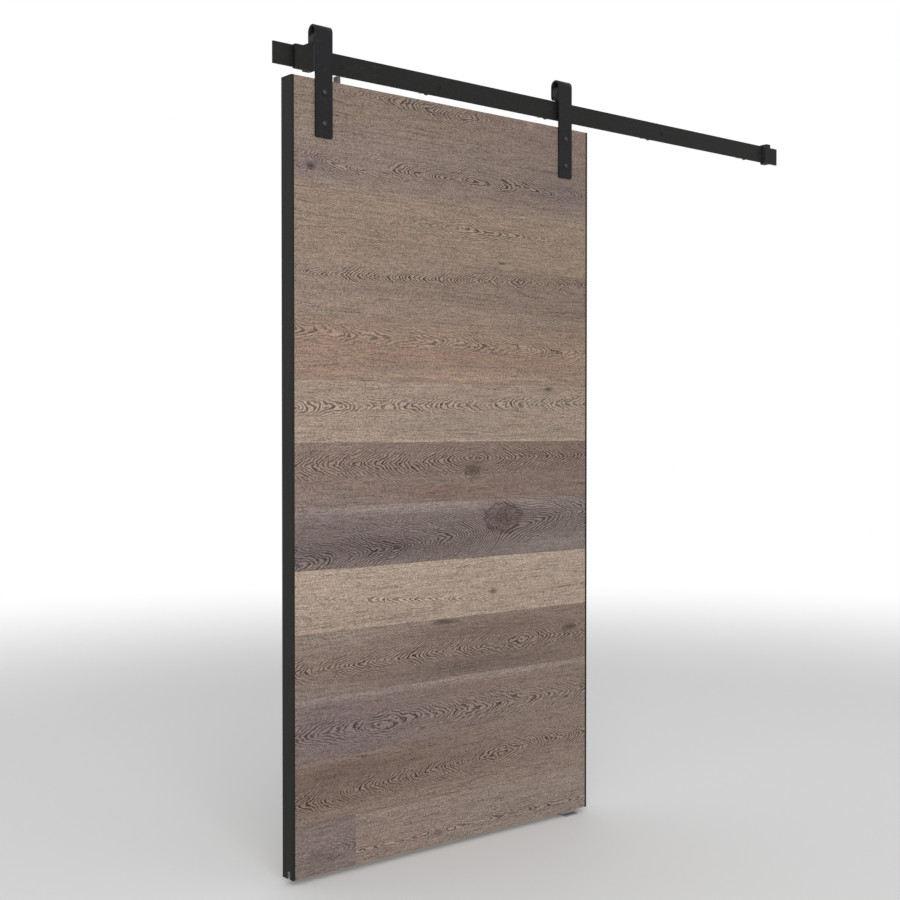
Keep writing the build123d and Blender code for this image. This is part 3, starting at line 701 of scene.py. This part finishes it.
# Guide channel
# An extruded aluminium channel is pressed into the leaf's lower edge and runs on the floor
# guide. It is left mill finish, with fine die lines along its length.
aluminium = Finish("mill_aluminium")
die_lines = aluminium.noise((900.0, 0.5, 0.5), 3.0)
haze = aluminium.noise((60.0, 30.0, 30.0), 3.0, 9.0)
aluminium.set(
    Base_Color=die_lines.mix(tone(168, 168, 170), tone(206, 206, 208)),
    Roughness=0.30 + 0.16 * haze + 0.10 * die_lines,
    Metallic=1.0,
)
aluminium.bump(die_lines, 0.04)
dress("guide_channel", aluminium.material)


# Anti-jump blocks
# Two moulded nylon blocks are screwed to the leaf's top edge close under the rail, so that the
# wheels can't lift off it. The plastic is matte grey, with a fine moulded grain.
nylon = Finish("block_nylon")
speckle = nylon.noise((2.5, 2.5, 2.5), 3.0)
nylon.set(Base_Color=speckle.mix(tone(70, 72, 74), tone(84, 86, 88)), Roughness=0.50 + 0.20 * speckle)
nylon.bump(speckle, 0.06)
dress("anti_jump_left", nylon.material)
dress("anti_jump_right", nylon.material)
dress("anti_jump_screws", fitting_coat)


# Hanger straps
# Each hanger is one flat steel bar, 54.5 by 6 mm, bent hot over a former into a hook that goes
# round its wheel, with its lower corners cut and its front face lying on the boards.
strap_coat = black_coat("strap_coat", tone(34, 34, 36), 0.46)
dress("hanger_strap_left", strap_coat)
dress("hanger_strap_right", strap_coat)
strap_easing = 0.8
ease_edges("hanger_strap_left", strap_easing)
ease_edges("hanger_strap_right", strap_easing)


# Strap bolts
# Two domed socket bolts hold each strap, driven from the front through boards and core into
# sleeve nuts let in from the back. Their pale crowns are partly rubbed wear, partly a painted
# highlight.
strap_front = -81.5
strap_bolt_head_height = 4.4
bolt_black = Finish("bolt_black")
bolt_stain = bolt_black.noise((2.0, 2.0, 2.0), 3.0)
crown_highlight_from = 3.7
crown_highlight_through = 4.3
# Painted highlight: the crown is painted pale, partly as bare metal rubbed by driving and partly as the
# lamp's glint.
crown = (0.0 - bolt_black.y).step(crown_highlight_from - strap_front, crown_highlight_through - strap_front)
crown_wear_and_highlight = crown * bolt_stain.step(0.30, 0.60)
bolt_black.set(
    Base_Color=crown_wear_and_highlight.mix(tone(26, 26, 27), tone(140, 140, 138)),
    Roughness=0.24 + 0.20 * bolt_stain,
    Metallic=0.8 * crown_wear_and_highlight,
)
bolt_black.bump(bolt_stain, 0.03)
hanger_xs = (-892.5, 11.8)
strap_bolt_zs = (-85.6, -168.6)
strap_bolt_places = [(x, z) for x in hanger_xs for z in strap_bolt_zs]
first_x, first_z = strap_bolt_places[0]
strap_bolt_shank = 4.0
machine_root = 3.4
machine_crest = 3.8
machine_pitch = 1.25
machine_thread = []
for turn_number in range(16):
    start = -27.0 - machine_pitch * turn_number
    machine_thread += [(machine_root, start), (machine_crest, start - 0.5), (machine_root, start - 1.0)]
strap_bolt_outline = dome(7.0, strap_bolt_head_height)
strap_bolt_outline += [(strap_bolt_shank, 0.0), (strap_bolt_shank, -26.0)]
strap_bolt_outline += machine_thread + [(2.6, -48.0)]
strap_bolt = turned("strap_bolt", (first_x, strap_front, first_z), -1, strap_bolt_outline)
sink_hexagon(strap_bolt, (first_x, strap_front - strap_bolt_head_height, first_z), 5.0, 2.6)
strap_bolt.data.materials.append(bolt_black.material)
moves = [(x - first_x, 0.0, z - first_z) for x, z in strap_bolt_places[1:]]
strap_bolts = repeat(strap_bolt, "strap_bolts_turned", moves)
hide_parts("strap_bolts")
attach(strap_bolts, "door")
dress("strap_sleeve_nuts", fitting_coat)


# Wheels
# Each wheel is turned from steel with a groove that sits on the rail's edge, and blackened.
# It runs on a pressed-in ball bearing, on an axle bolt through both legs of the strap.
# Painted light: the wheels' black is a lighter tone than the other black parts, so the shade inside
# each hook reads lighter.
wheel_black_painted_light = black_coat("wheel_black_painted_light", tone(46, 46, 47), 0.30)
axle_height = 54.3
rail_middle = -63.0
# Half of the section, from the hub's face over the recess and the flange to the tread's edge
wheel_half = [
    (14.6, 10.0),
    (15.0, 9.7),
    (15.5, 8.2),
    (16.0, 8.0),
    (22.6, 8.0),
    (23.0, 8.2),
    (23.5, 9.7),
    (24.0, 10.0),
    (28.2, 10.0),
    (28.8, 9.7),
    (29.0, 9.2),
    (29.0, 5.4),
    (28.8, 5.0),
    (25.2, 3.6),
    (25.0, 3.3),
]
bearing_pocket = [(11.2, 10.0), (11.0, 9.8), (11.0, 4.0), (13.0, 4.0)]
wheel_outline = [(13.0, -10.0)] + [(radius, -height) for radius, height in wheel_half]
wheel_outline += wheel_half[::-1] + bearing_pocket
bright = Finish("bright_steel")
turning = bright.noise((0.5, 8.0, 0.5), 3.0)
bright.set(
    Base_Color=turning.mix(tone(150, 150, 152), tone(196, 196, 198)),
    Roughness=0.26 + 0.18 * turning,
    Metallic=1.0,
)
for side, wheel_x in zip(("left", "right"), hanger_xs):
    wheel = turned(
        "wheel_%s_turned" % side,
        (wheel_x, rail_middle, axle_height),
        1,
        wheel_outline,
        sides=96,
        hollow=True,
    )
    wheel.data.materials.append(wheel_black_painted_light)
    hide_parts("wheel_" + side)
    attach(wheel, "wheel_" + side)
    dress("bearing_" + side, bright.material)
dress("axle_spacers", bright.material)
dress("axle_bolts", strap_coat)
dress("axle_nuts", fitting_coat)


# Floor guide
# A small T-shaped guide of zinc plated steel is screwed to the floor. Its fin stands in the
# leaf's channel and keeps the leaf from swinging, wherever the leaf stands along the rail.
dress("floor_guide", bright.material)
dress("floor_guide_screws", bright.material)


# Floor, light and camera
# A pale floor that runs out into a white surround carries the soft shadow. One large lamp
# stands to the front left, and the camera stands where the photograph was taken from.
floor_height = -2.2016
floor_radius = 40.0
bpy.ops.object.select_all(action="DESELECT")
bpy.ops.mesh.primitive_circle_add(
    vertices=96,
    radius=floor_radius,
    fill_type="NGON",
    location=(0, 0, floor_height),
)
floor = bpy.context.object
floor.name = "floor"
bpy.ops.object.transform_apply(location=True, rotation=False, scale=False)
surface = Finish("pale_floor")
surface.set(Base_Color=(0.80, 0.80, 0.80, 1.0), Roughness=0.7)
path = surface.tree.nodes.new("ShaderNodeLightPath")
seen = Wire(surface.tree, path.outputs["Is Camera Ray"])
seen = seen.math("MAXIMUM", seen, Wire(surface.tree, path.outputs["Is Glossy Ray"]))
away = (surface.x * surface.x + surface.y * surface.y) ** 0.5
white = surface.tree.nodes.new("ShaderNodeEmission")
blend = surface.tree.nodes.new("ShaderNodeMixShader")
result = surface.tree.nodes["Material Output"]
fade_start = 2200.0
fade_end = 6500.0
surface.tree.links.new((away.step(fade_start, fade_end) * seen).socket, blend.inputs[0])
surface.tree.links.new(surface.shader.outputs[0], blend.inputs[1])
surface.tree.links.new(white.outputs[0], blend.inputs[2])
surface.tree.links.new(blend.outputs[0], result.inputs["Surface"])
floor.data.materials.append(surface.material)

world = bpy.data.worlds.new("studio")
bpy.context.scene.world = world
world.use_nodes = True
surround = world.node_tree.nodes["Background"]
world_path = world.node_tree.nodes.new("ShaderNodeLightPath")
world_seen = Wire(world.node_tree, world_path.outputs["Is Camera Ray"])
world_mirrored = Wire(world.node_tree, world_path.outputs["Is Glossy Ray"])
world_seen = world_seen.math("MAXIMUM", world_seen, world_mirrored)
ambient = 0.62
strength = ambient + (1.0 - ambient) * world_seen
world.node_tree.links.new(strength.socket, surround.inputs["Strength"])
surround.inputs["Color"].default_value = (1.0, 1.0, 1.0, 1.0)

key = bpy.data.lights.new("key", "AREA")
key.shape = "RECTANGLE"
key.size = 6.0
key.size_y = 4.5
key.energy = 360.0
key_lamp = bpy.data.objects.new("key", key)
key_lamp.location = (-4.8, -7.0, 2.6)
key_tilt = 65.0
key_turn = -33.0
key_lamp.rotation_euler = (math.radians(key_tilt), 0.0, math.radians(key_turn))
bpy.context.scene.collection.objects.link(key_lamp)

camera = bpy.data.cameras.new("camera")
camera.lens = 53.825
camera.sensor_width = 36.0
camera_place = bpy.data.objects.new("camera", camera)
camera_place.location = (-2.947, -3.0709, -0.9856)
camera_tilt = 0.892
camera_turn = -39.813
camera_place.rotation_euler = (math.radians(90.0 - camera_tilt), 0.0, math.radians(camera_turn))
bpy.context.scene.collection.objects.link(camera_place)
bpy.context.scene.camera = camera_place
bpy.context.scene.view_settings.view_transform = "Standard"
